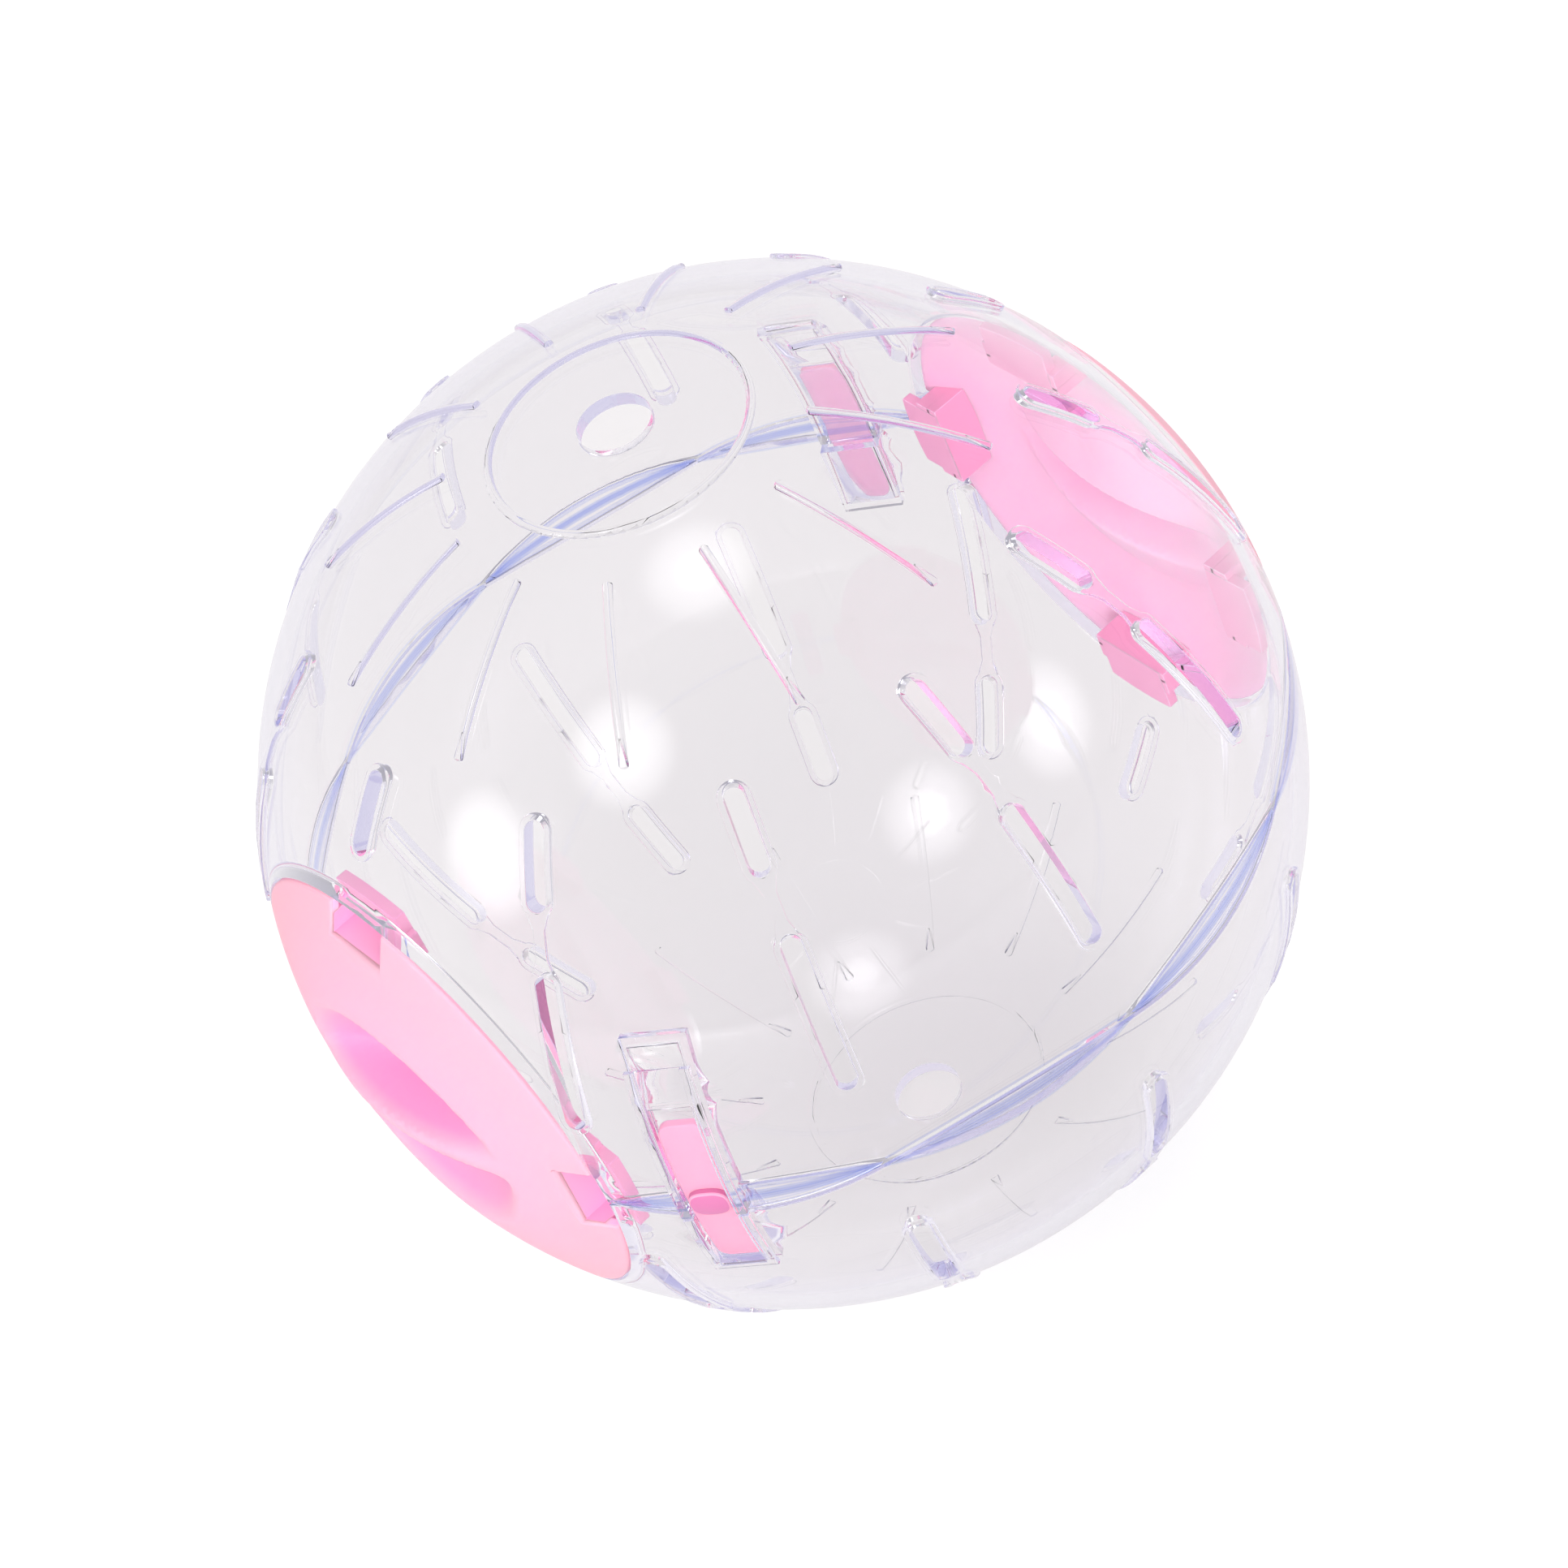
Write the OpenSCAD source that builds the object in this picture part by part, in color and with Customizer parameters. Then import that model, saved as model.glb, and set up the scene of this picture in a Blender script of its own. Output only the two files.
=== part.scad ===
// Hamster exercise ball: two clear half shells that lap at the seam, two round doors that
// turn to lock, and two latches that slide along curved channels across the seam.
// Millimetres. The origin is the centre of the ball. +Z runs through the upper pole hole
// and +X through the middle of the left door.

/* [Ball] */
// Outer diameter of the ball
ball_d = 140; // [126:1:160]
// Wall of the clear half shells
wall = 2; // [1.8:0.1:2.4]
// Reach of each wave of the seam above and below the seam plane
lap_h = 2.2; // [1.4:0.1:3]

/* [Poles] */
// Radius of the round hole at each pole
pole_hole_r = 4.9; // [3:0.1:8]
// Radius from the pole axis to the middle of the bead ring
pole_bead_r = 17.4; // [12:0.1:20]
// Thickness of the bead ring
pole_bead_d = 1.2; // [0.8:0.1:2]

/* [Ribs] */
// Thickness of the rod ribs
rib_d = 1.3; // [0.8:0.1:2]
// Distance over the surface from the seam to the lower end of a rib
rib_from = 61.6; // [60:0.1:66]
// Distance over the surface from the seam to the upper end of a rib
rib_to = 85.5; // [76:0.1:88]

/* [Vent slots] */
// Width of the vent slots
slot_w = 2.7; // [1.5:0.1:3.4]
// Distance over the surface from the seam to the lower end of the long slot
long_slot_from = 14.2; // [12:0.1:18]
// Distance over the surface from the seam to the upper end of the long slot
long_slot_to = 36.4; // [30:0.1:37]
// Distance over the surface from the seam to the lower end of the short slot
short_slot_from = 44.7; // [43:0.1:47]
// Distance over the surface from the seam to the upper end of the short slot
short_slot_to = 56.2; // [52:0.1:57]
// Border of the raised frame round each slot
frame_w = 0.85; // [0.5:0.05:1.1]
// Width of the neck that joins the two frames
neck_w = 1.7; // [1:0.1:2.4]
// Height of the raised frames above the ball
frame_h = 0.5; // [0.3:0.05:0.8]

/* [Doors] */
// Radius of the door
door_r = 34.2; // [32:0.1:34.6]
// Gap between the door's rim and its opening
door_gap = 0.3; // [0.2:0.05:0.5]
// Wall of the door
door_wall = 1.8; // [1.4:0.1:2.2]
// Thickness of the door's rim over the lugs
door_rim_t = 1.4; // [1.2:0.1:1.6]
// Width of the grip bar
bar_w = 7; // [5:0.5:10]
// Distance from the middle of the bar to the far edge of a finger recess
recess_reach = 18; // [15:0.5:20]
// Half the length of a finger recess along the bar
recess_half_l = 21.8; // [18:0.2:23]
// Depth of a finger recess beside the bar
recess_depth = 8.4; // [5:0.2:10]

/* [Door lock] */
// Width of each lug in the opening
lug_w = 10; // [7:0.1:11]
// Thickness of the lugs
lug_t = 1.3; // [1:0.1:1.6]
// Reach of the lugs in from the opening
lug_reach = 1.9; // [1.4:0.1:2.4]
// Width of each tab on the door
tab_w = 12.4; // [11.5:0.1:14]
// Thickness of the tabs
tab_t = 1.6; // [1.2:0.1:2]
// Reach of the tabs out past the opening
tab_reach = 0.8; // [0.4:0.1:0.8]
// Depth of the notch in from the door's rim
notch_depth = 5; // [4:0.1:6]
// Running gap between the door and the lugs
turn_gap = 0.3; // [0.2:0.05:0.4]

/* [Latches] */
// Length of the latch strip
latch_l = 26.9; // [22:0.1:28]
// Width of the latch strip
latch_w = 6.4; // [5.4:0.1:7.4]
// Thickness of the latch strip
latch_t = 1.2; // [1:0.1:1.4]
// Depth of the latch strip's face below the ball's surface
latch_sink = 0.8; // [0.7:0.05:1]
// Distance that the latch slides along the ball to open
latch_travel = 12; // [11.6:0.1:12.4]
// Running gap round the latch strip
latch_gap = 0.3; // [0.2:0.05:0.4]
// Width of the thumb button
button_w = 5.4; // [4:0.1:5.4]
// Height of the thumb button along the strip
button_l = 4.3; // [3.6:0.1:6]
// Height of the thumb button above the ball
button_h = 0.5; // [0.3:0.1:1]
// Width of each rail beside the latch
rail_w = 1.05; // [0.9:0.05:1.4]
// Height of the rails above the ball
rail_h = 0.6; // [0.4:0.05:0.9]
// Reach of the rail lips over the latch strip
lip_w = 0.4; // [0.2:0.05:0.45]
// Distance over the surface from the seam to the upper end of the rails
rail_to = 23.2; // [20:0.1:25]
// Distance over the surface from the seam to the upper end of the channel's open mouth
mouth_to = 17.1; // [15.6:0.1:18.5]

/* [Hidden] */
$fn = 120;

clear_plastic = [0.90, 0.91, 0.96, 0.45];
pink_plastic = [1.00, 0.76, 0.87];
latch_plastic = [0.98, 0.66, 0.85];

// Angles round the ball, in degrees
step_angle = 30;
latch_angle = 41;
bar_angle = 8;
quarter_turn = 90;
sphere_turn = 52.5;

// Radius of a rib's round ends as a share of its thickness, and how much of the frame's
// border the neck covers where it starts
rib_end_share = 0.6;
neck_root_share = 0.8;

// Overrun of cuts, and clearance at the lapped seam
over = 1;
seam_gap = 0.3;

// How far the channel's cover stands out of the ball between the upper ends of the rails
cover_h = 0.1;

// Levels through the shell wall
ball_r = ball_d / 2;
inner_r = ball_r - wall;
lap_r = ball_r - wall / 2;
prism_from_r = inner_r * cos(step_angle);

// Lens between two crossings of the seam: half its width and the radius of its arc
lens_half_w = lap_r * sin(step_angle / 2);
lens_r = (lens_half_w * lens_half_w + lap_h * lap_h) / (2 * lap_h);

// Levels along the door's axis, from the rim inwards
opening_r = door_r + door_gap;
groove_x = sqrt(ball_r * ball_r - door_r * door_r) - door_rim_t;
lug_top_x = groove_x - turn_gap;
lug_low_x = lug_top_x - lug_t;
tab_top_x = lug_low_x - turn_gap;
tab_low_x = tab_top_x - tab_t;
lug_inner_r = opening_r - lug_reach;
past_lugs_r = lug_inner_r - turn_gap;
rim_w = wall;
notch_w = lug_w + 2 * turn_gap;
notch_inner_r = door_r - notch_depth;

// Finger recess: a sphere whose edge meets the dome at the reach and at the bar's ends
bar_half = bar_w / 2;
recess_off = (recess_half_l * recess_half_l + bar_half * bar_half - recess_reach * recess_reach)
    / (2 * (recess_reach - bar_half));
recess_edge_x = sqrt(ball_r * ball_r - recess_reach * recess_reach);
recess_deep_x = sqrt(ball_r * ball_r - bar_half * bar_half) - recess_depth;
recess_x = (pow(recess_reach + recess_off, 2) - pow(bar_half + recess_off, 2)
    + pow(recess_edge_x, 2) - pow(recess_deep_x, 2)) / (2 * (recess_edge_x - recess_deep_x));
recess_r = sqrt(pow(bar_half + recess_off, 2) + pow(recess_x - recess_deep_x, 2));

// Latch strip and channel levels, as radii from the ball's centre
strip_top_r = ball_r - latch_sink;
strip_low_r = strip_top_r - latch_t;
strip_mid_r = strip_top_r - latch_t / 2;
channel_floor_r = strip_low_r - latch_gap;
channel_low_r = channel_floor_r - latch_t;
lip_low_r = strip_top_r + latch_gap;
rail_top_r = ball_r + rail_h;
button_top_r = ball_r + button_h;
groove_half_w = latch_w / 2 + latch_gap / 2;
mouth_half_w = groove_half_w - lip_w;
block_half_w = groove_half_w + rail_w;
strip_corner_r = latch_w / 4;
button_corner_r = button_l / 5;
travel_angle = surface_angle(latch_travel);
strip_end_angle = asin(latch_l / 2 / strip_low_r);
groove_end_angle = strip_end_angle + travel_angle + surface_angle(latch_gap);
block_end_angle = groove_end_angle + surface_angle(rail_w);

// Socket in the lower shell: its floor is upright, so the strip leaves it straight up
socket_floor_x = strip_low_r * cos(strip_end_angle) - latch_gap;
socket_wall_x = socket_floor_x - latch_t;
socket_low_z = latch_l / 2 + latch_gap;

// Angle at the centre that a distance over the surface stands for
function surface_angle(distance) = distance / ball_r * 180 / PI;

// Sphere about the ball's centre, turned so that its own edge line misses every feature
module ball_sphere(r) {
    rotate([0, 0, sphere_turn])
        sphere(r = r);
}

// Local frame on the ball: X east, Y north, Z straight out
module on_surface(lon, lat) {
    rotate([0, 90 - lat, lon])
        rotate(90)
            children();
}

// A flat outline on the ball, run out through the shell wall
module radial_prism() {
    translate([0, 0, prism_from_r])
        linear_extrude(height = ball_r + over - prism_from_r)
            children();
}

// A profile drawn as radius and sideways distance, swept along the meridian at lon
module meridian_sweep(lon, from, to) {
    rotate([0, 0, lon])
        rotate([90, 0, 0])
            rotate([0, 0, from])
                rotate_extrude(angle = to - from)
                    children();
}

// Rectangle with round corners, centred
module rounded_rectangle(w, l, r) {
    square([w - 2 * r, l], center = true);
    square([w, l - 2 * r], center = true);
    for (x = [-1, 1], y = [-1, 1])
        translate([x * (w / 2 - r), y * (l / 2 - r)])
            circle(r = r, $fn = 32);
}

// Slot outline from one north coordinate to another, grown by a border
module slot_outline(from, to, border) {
    r = slot_w / 2 + border;
    translate([-r, from + slot_w / 2])
        square([2 * r, to - from - slot_w]);
    for (y = [from + slot_w / 2, to - slot_w / 2])
        translate([0, y])
            circle(r = r, $fn = 48);
}

// North coordinate of a distance over the surface, in the flat plane at the slots' middle
slots_mid = (long_slot_from + short_slot_to) / 2;
function slot_y(distance) = ball_r * sin(surface_angle(distance - slots_mid));

module long_slot(border) {
    slot_outline(slot_y(long_slot_from), slot_y(long_slot_to), border);
}

module short_slot(border) {
    slot_outline(slot_y(short_slot_from), slot_y(short_slot_to), border);
}

// Waist between the frames of a long and a short slot
module frame_neck() {
    low = slot_y(long_slot_to) - slot_w / 2;
    high = slot_y(short_slot_from) + slot_w / 2;
    end_half = slot_w / 2 + frame_w * neck_root_share;
    taper = (high - low) / 3;
    polygon([
        [-end_half, low], [end_half, low],
        [neck_w / 2, low + taper], [neck_w / 2, high - taper],
        [end_half, high], [-end_half, high],
        [-neck_w / 2, high - taper], [-neck_w / 2, low + taper]
    ]);
}

// Places children at every slot meridian but the doors'
module at_pair_meridians() {
    for (lon = [step_angle : step_angle : 360 - step_angle])
        if (lon != 180)
            on_surface(lon, surface_angle(slots_mid))
                children();
}

module at_door_meridians() {
    for (lon = [0, 180])
        on_surface(lon, surface_angle(slots_mid))
            children();
}

module slot_cuts() {
    at_pair_meridians()
        radial_prism() {
            long_slot(0);
            short_slot(0);
        }
    at_door_meridians()
        radial_prism()
            short_slot(0);
}

// Raised frames round the slots, following the ball
module slot_frames() {
    intersection() {
        difference() {
            ball_sphere(ball_r + frame_h);
            ball_sphere(lap_r);
        }
        union() {
            at_pair_meridians()
                radial_prism() {
                    long_slot(frame_w);
                    frame_neck();
                    short_slot(frame_w);
                }
            at_door_meridians()
                radial_prism()
                    short_slot(frame_w);
        }
    }
}

// Rod ribs half sunk in the surface, between the slot meridians, with round ends
module ribs() {
    from = surface_angle(rib_from);
    to = surface_angle(rib_to);
    end_r = rib_d * rib_end_share;
    half_l = ball_r * sin((to - from) / 2);
    for (lon = [step_angle / 2 : step_angle : 360])
        intersection() {
            meridian_sweep(lon, from - rib_d, to + rib_d)
                translate([ball_r, 0])
                    circle(d = rib_d, $fn = 32);
            on_surface(lon, (from + to) / 2)
                radial_prism() {
                    square([2 * end_r, 2 * (half_l - end_r)], center = true);
                    for (y = [end_r - half_l, half_l - end_r])
                        translate([0, y])
                            circle(r = end_r, $fn = 32);
                }
        }
}

module pole_bead() {
    translate([0, 0, sqrt(ball_r * ball_r - pole_bead_r * pole_bead_r)])
        rotate_extrude()
            translate([pole_bead_r, 0])
                circle(d = pole_bead_d, $fn = 32);
}

// Area under one wave of the seam, with its foot run past the seam line
module lens_2d(half_w) {
    intersection() {
        translate([0, lap_h - lens_r])
            circle(r = lens_r);
        translate([-half_w, -over])
            square([2 * half_w, lap_h + 2 * over]);
    }
}

// Places children at the seam in the middle of every other wave, starting at first. The
// doors take the place of the waves on both sides of the meridians that they lie on.
module at_waves(first) {
    for (k = [first : 2 : 10])
        if (k != 5 && k != 6)
            on_surface((k + 0.5) * step_angle, 0)
                radial_prism()
                    children();
}

// Room for the other half's waves: clear of them all round, and open past their ends
module wave_room(first) {
    at_waves(first)
        translate([0, seam_gap])
            lens_2d(lens_half_w + over);
}

// The waves themselves, below the seam
module waves(first) {
    at_waves(first)
        translate([0, seam_gap / 2])
            rotate(180)
                lens_2d(lens_half_w - seam_gap);
}

module lap_cylinder(r) {
    cylinder(r = r, h = 4 * lap_h + 4 * over, center = true);
}

// Everything that lies above the seam, less half the seam's clearance
module above_seam() {
    translate([-ball_r - over, -ball_r - over, seam_gap / 2])
        cube([2 * (ball_r + over), 2 * (ball_r + over), ball_r + over]);
}

module plain_half() {
    intersection() {
        difference() {
            ball_sphere(ball_r);
            ball_sphere(inner_r);
        }
        above_seam();
    }
}

// Room above the seam for the other half's waves. outer_first is the first wave where the
// outer half of the wall reaches below the seam; at the others the inner half does.
module lap_cuts(outer_first) {
    inner_first = 3 - outer_first;
    intersection() {
        wave_room(outer_first);
        lap_cylinder(lap_r + seam_gap / 2);
    }
    difference() {
        wave_room(inner_first);
        lap_cylinder(lap_r - seam_gap / 2);
    }
}

// Waves of this half below the seam, each in the outer or the inner half of the wall
module lap_waves(outer_first) {
    inner_first = 3 - outer_first;
    intersection() {
        waves(outer_first);
        difference() {
            ball_sphere(ball_r);
            lap_cylinder(lap_r + seam_gap / 2);
        }
        wave_band();
    }
    intersection() {
        waves(inner_first);
        difference() {
            lap_cylinder(lap_r - seam_gap / 2);
            ball_sphere(inner_r);
        }
        wave_band();
    }
}

module wave_band() {
    translate([0, 0, -lap_h])
        cylinder(r = ball_r + over, h = lap_h + seam_gap);
}

// Local frame of a door: Z along its axis outwards, X down, Y along the seam
module door_frame(side) {
    rotate([0, 90, side])
        children();
}

module door_opening() {
    translate([0, 0, inner_r / 2])
        cylinder(r = opening_r, h = ball_r);
}

// Thickened edge of the door opening, and the lugs that hold the door, in the door frame
module door_rim() {
    intersection() {
        ball_sphere(ball_r);
        translate([0, 0, lug_low_x])
            difference() {
                cylinder(r = opening_r + rim_w, h = ball_r);
                translate([0, 0, -over])
                    cylinder(r = opening_r, h = ball_r);
            }
    }
    for (turn = [0 : quarter_turn : 270])
        rotate(turn)
            translate([0, 0, lug_low_x])
                intersection() {
                    translate([0, -lug_w / 2, 0])
                        cube([opening_r + rim_w / 4, lug_w, lug_t]);
                    difference() {
                        cylinder(r = opening_r + rim_w, h = lug_t);
                        translate([0, 0, -over])
                            cylinder(r = lug_inner_r, h = lug_t + 2 * over);
                    }
                }
}

// One half shell as it lies above the seam, without its latch channels
module half_shell(outer_first) {
    difference() {
        union() {
            difference() {
                union() {
                    plain_half();
                    slot_frames();
                    ribs();
                    pole_bead();
                }
                for (side = [0, 180])
                    door_frame(side)
                        door_opening();
            }
            intersection() {
                for (side = [0, 180])
                    door_frame(side)
                        door_rim();
                above_seam();
            }
        }
        lap_cuts(outer_first);
        slot_cuts();
        cylinder(r = pole_hole_r, h = ball_r + over);
    }
    lap_waves(outer_first);
}

module at_latches() {
    for (lon = [latch_angle, latch_angle + 180])
        rotate([0, 0, lon])
            children();
}

// Cross-section of the sliding channel: radius against sideways distance
module channel_profile(half_w, from, to) {
    translate([from, -half_w])
        square([to - from, 2 * half_w]);
}

// Block of the upper channel, down to the lip of the seam. The rails end before its pocket.
module channel_block() {
    intersection() {
        union() {
            meridian_sweep(0, -surface_angle(2 * lap_h), surface_angle(rail_to))
                channel_profile(block_half_w, lap_r, rail_top_r);
            meridian_sweep(0, -surface_angle(2 * lap_h), block_end_angle)
                channel_profile(block_half_w, channel_low_r, lip_low_r);
        }
        translate([0, -block_half_w - over, seam_gap / 2 - lap_h])
            cube([ball_r + 2 * over, 2 * (block_half_w + over), ball_r]);
    }
}

// Groove of the upper channel, its open mouth, the room between the upper ends of the rails
// and the click groove across the floor
module channel_cut() {
    meridian_sweep(0, -surface_angle(3 * lap_h), groove_end_angle)
        channel_profile(groove_half_w, channel_floor_r, lip_low_r);
    meridian_sweep(0, -surface_angle(3 * lap_h), surface_angle(mouth_to))
        channel_profile(mouth_half_w, lip_low_r - latch_gap, rail_top_r + over);
    meridian_sweep(0, surface_angle(mouth_to) - over, surface_angle(rail_to) + over)
        channel_profile(mouth_half_w, ball_r + cover_h, rail_top_r + over);
    rotate([0, -strip_end_angle - surface_angle(wall), 0])
        translate([channel_floor_r, 0, 0])
            rotate([90, 0, 0])
                cylinder(d = 2 * latch_gap, h = latch_w, center = true, $fn = 24);
}

// Block of the socket in the lower shell
module socket_block() {
    intersection() {
        meridian_sweep(0, -block_end_angle, 0)
            channel_profile(block_half_w, socket_wall_x - wall, rail_top_r);
        translate([socket_wall_x, -latch_w, -socket_low_z - rail_w])
            cube([ball_r, 2 * latch_w, socket_low_z + rail_w]);
    }
}

// Socket with its upright floor, its open mouth, and the space for the upper channel
module socket_cut() {
    intersection() {
        meridian_sweep(0, -block_end_angle, over)
            channel_profile(groove_half_w, socket_wall_x - wall, lip_low_r);
        translate([socket_floor_x, -latch_w, -socket_low_z])
            cube([ball_r, 2 * latch_w, socket_low_z + lap_h]);
    }
    intersection() {
        meridian_sweep(0, -block_end_angle, over)
            channel_profile(mouth_half_w, lip_low_r - latch_gap, rail_top_r + over);
        translate([socket_floor_x, -latch_w, -socket_low_z])
            cube([ball_r, 2 * latch_w, socket_low_z + lap_h]);
    }
    translate([channel_low_r - 2 * wall, -block_half_w - seam_gap, -lap_h - seam_gap / 2])
        cube([ball_r, 2 * (block_half_w + seam_gap), 2 * lap_h + seam_gap + over]);
}

module upper_shell() {
    color(clear_plastic)
        difference() {
            union() {
                half_shell(1);
                at_latches()
                    channel_block();
            }
            at_latches()
                channel_cut();
        }
}

module lower_shell() {
    color(clear_plastic)
        difference() {
            union() {
                mirror([0, 0, 1])
                    half_shell(2);
                at_latches()
                    socket_block();
            }
            at_latches()
                socket_cut();
        }
}

// Sphere of a finger recess, grown by a wall, on the far side of the bar
module recess_ball(grow) {
    intersection() {
        translate([0, -recess_off, recess_x])
            sphere(r = recess_r + grow);
        translate([-ball_r, bar_half - grow, 0])
            cube([2 * ball_r, ball_r, 2 * ball_r]);
    }
}

// Sphere about the ball's centre, turned so that its poles and edge line miss the door
module dome_sphere(r) {
    rotate([90, 0, 0])
        sphere(r = r);
}

module door_skin() {
    difference() {
        intersection() {
            dome_sphere(ball_r);
            cylinder(r = door_r, h = ball_r + over);
        }
        dome_sphere(ball_r - door_wall);
        difference() {
            cylinder(r = ball_r, h = groove_x);
            translate([0, 0, -over])
                cylinder(r = past_lugs_r, h = groove_x + 2 * over);
        }
    }
}

// Walls of the notch pocket, from the tab up to the skin
module notch_box() {
    intersection() {
        dome_sphere(ball_r - door_wall / 2);
        cylinder(r = past_lugs_r, h = ball_r);
        translate([notch_inner_r - door_wall, -notch_w / 2 - door_wall, tab_low_x])
            cube([notch_depth + door_wall, notch_w + 2 * door_wall, ball_r]);
    }
}

module tab() {
    intersection() {
        cylinder(r = opening_r + tab_reach, h = ball_r);
        translate([notch_inner_r - door_wall, -tab_w / 2, tab_low_x])
            cube([notch_depth + tab_reach + 2 * door_wall, tab_w, tab_t]);
    }
}

// Door in its own frame, with the grip bar turned a little from the seam
module door() {
    difference() {
        union() {
            door_skin();
            for (turn = [0, 180])
                rotate(bar_angle + quarter_turn + turn)
                    intersection() {
                        recess_ball(door_wall);
                        dome_sphere(ball_r - door_wall / 2);
                        cylinder(r = past_lugs_r, h = ball_r);
                    }
            for (turn = [0 : quarter_turn : 270])
                rotate(turn) {
                    notch_box();
                    tab();
                }
        }
        for (turn = [0, 180])
            rotate(bar_angle + quarter_turn + turn)
                recess_ball(0);
        for (turn = [0 : quarter_turn : 270])
            rotate(turn)
                translate([notch_inner_r, -notch_w / 2, tab_top_x])
                    cube([notch_depth + over, notch_w, ball_r]);
    }
}

module door_left() {
    color(pink_plastic)
        door_frame(0)
            door();
}

module door_right() {
    color(pink_plastic)
        door_frame(180)
            door();
}

// Piece of a curved strip with round corners, between two radii
module curved_plate(w, l, corner_r, from_r, to_r) {
    intersection() {
        meridian_sweep(0, -block_end_angle, block_end_angle)
            channel_profile(latch_w, from_r, to_r);
        on_surface(0, 0)
            radial_prism()
                rounded_rectangle(w, l, corner_r);
    }
}

// Curved latch strip and its thumb button
module latch() {
    curved_plate(latch_w, latch_l, strip_corner_r, strip_low_r, strip_top_r);
    curved_plate(button_w, button_l, button_corner_r, strip_mid_r, button_top_r);
}

module latch_front() {
    color(latch_plastic)
        rotate([0, 0, latch_angle])
            latch();
}

module latch_back() {
    color(latch_plastic)
        rotate([0, 0, latch_angle + 180])
            latch();
}

lower_shell();
upper_shell();
door_left();
door_right();
latch_front();
latch_back();
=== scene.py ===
import math

import bmesh
import bpy
import numpy as np
from mathutils import Matrix, Vector
from mathutils.bvhtree import BVHTree
from mathutils.geometry import delaunay_2d_cdt


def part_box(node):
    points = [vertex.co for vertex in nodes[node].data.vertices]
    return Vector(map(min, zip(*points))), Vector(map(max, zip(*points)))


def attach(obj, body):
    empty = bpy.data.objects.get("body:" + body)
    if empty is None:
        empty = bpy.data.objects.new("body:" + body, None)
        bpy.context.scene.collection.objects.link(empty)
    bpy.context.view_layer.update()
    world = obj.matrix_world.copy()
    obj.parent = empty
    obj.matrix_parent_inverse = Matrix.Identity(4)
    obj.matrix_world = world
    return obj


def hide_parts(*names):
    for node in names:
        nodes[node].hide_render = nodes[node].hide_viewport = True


# A clear ball of two half shells, with a pink door on each side and two pink latches.
# All lengths are in metres, and all places are in the frame's own axes.
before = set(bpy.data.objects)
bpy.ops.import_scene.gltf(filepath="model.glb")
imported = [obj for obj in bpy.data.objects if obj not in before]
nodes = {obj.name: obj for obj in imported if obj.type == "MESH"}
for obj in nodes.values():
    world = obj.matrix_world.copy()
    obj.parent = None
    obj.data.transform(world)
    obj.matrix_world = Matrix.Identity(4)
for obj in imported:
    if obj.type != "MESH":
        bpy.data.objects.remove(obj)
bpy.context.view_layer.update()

MM = 0.001
BALL_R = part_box("upper_shell")[1][1]
WALL = 2.0 * MM
FRAME_H = 0.5 * MM

# Camera. The photograph is 1932 px square, and px values are in its pixels. SENSOR is in mm.
IMAGE_PX = 1932
SENSOR = 36.0
CLIP_START = 0.05
CLIP_END = 20.0
CAMERA_BACK = Vector((0.2780, 0.6593, 0.6986)).normalized()
IMAGE_RIGHT = Vector((-0.7185, 0.6254, -0.3043))
CAMERA_RANGE = 10.84 * BALL_R
BALL_RADIUS_PX = 648.6
BALL_CENTRE_PX = (965.5, 965.3)

# Floor
FLOOR_GAP = 0.3 * MM
FLOOR_Z = -BALL_R - FLOOR_GAP
FLOOR_HALF = 3.0
FLOOR_MATT = (0.40, 0.40, 0.405, 1.0)
FLOOR_DIRECT_GLOW = (0.64, 0.64, 0.64, 1.0)
FLOOR_BENT_GLOW = (0.465, 0.453, 0.440, 1.0)

# Room, as mirrors and clear plastic show it. Tones go from straight down at 0 to straight up at 1.
ROOM_TONES = (
    (0.48, (0.90, 0.89, 0.88)),
    (0.60, (0.76, 0.75, 0.75)),
    (0.85, (0.52, 0.51, 0.53)),
    (1.00, (0.46, 0.45, 0.48)),
)
WHITE = (1.0, 1.0, 1.0, 1.0)
FILL = (1.0, 0.98, 0.99, 1.0)
FILL_STRENGTH = 0.70

# Soft boxes: direction, cosine of the angle at which the core starts, and brightness. The glow
# round a core starts further out, by the last value.
SOFT_BOXES = (
    ((0.892, -0.225, 0.392), 0.9935, 2.9),
    ((0.561, 0.137, 0.816), 0.9945, 2.7),
    ((-0.072, -0.052, 0.996), 0.9955, 2.0),
)
SOFT_BOX_GLOW = 0.022

# Lamps: name, direction, distance, diameter and power in watts
LAMPS = (
    ("key", (0.45, 0.55, 0.95), 1.4, 0.9, 5.0),
    ("front", (0.30, 0.90, 0.35), 1.4, 0.6, 6.0),
    ("side", (0.892, -0.225, 0.392), 1.3, 0.7, 2.0),
    ("low", (0.80, 0.55, 0.16), 1.4, 0.5, 7.5),
    ("back", (-0.7, -0.3, 0.8), 1.3, 0.7, 5.0),
)
LAMP_ACROSS = Vector((0.3, 1, 0.1))

# Seam lines, tinted blue as painted light: each wave is an arc in the lap's cylinder, as high as
# LAP_H.
# A line is full up to the first distance from an edge, and gone at the second.
WAVES = 12
LAP_H = 2.2 * MM
LAP_R = BALL_R - WALL / 2
WAVE_R = 73.6 * MM
SEAM_LINE = (0.20 * MM, 0.45 * MM)
WAVE_LINE = (0.12 * MM, 0.30 * MM)
WAVE_LINE_SHARE = 0.7

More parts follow.
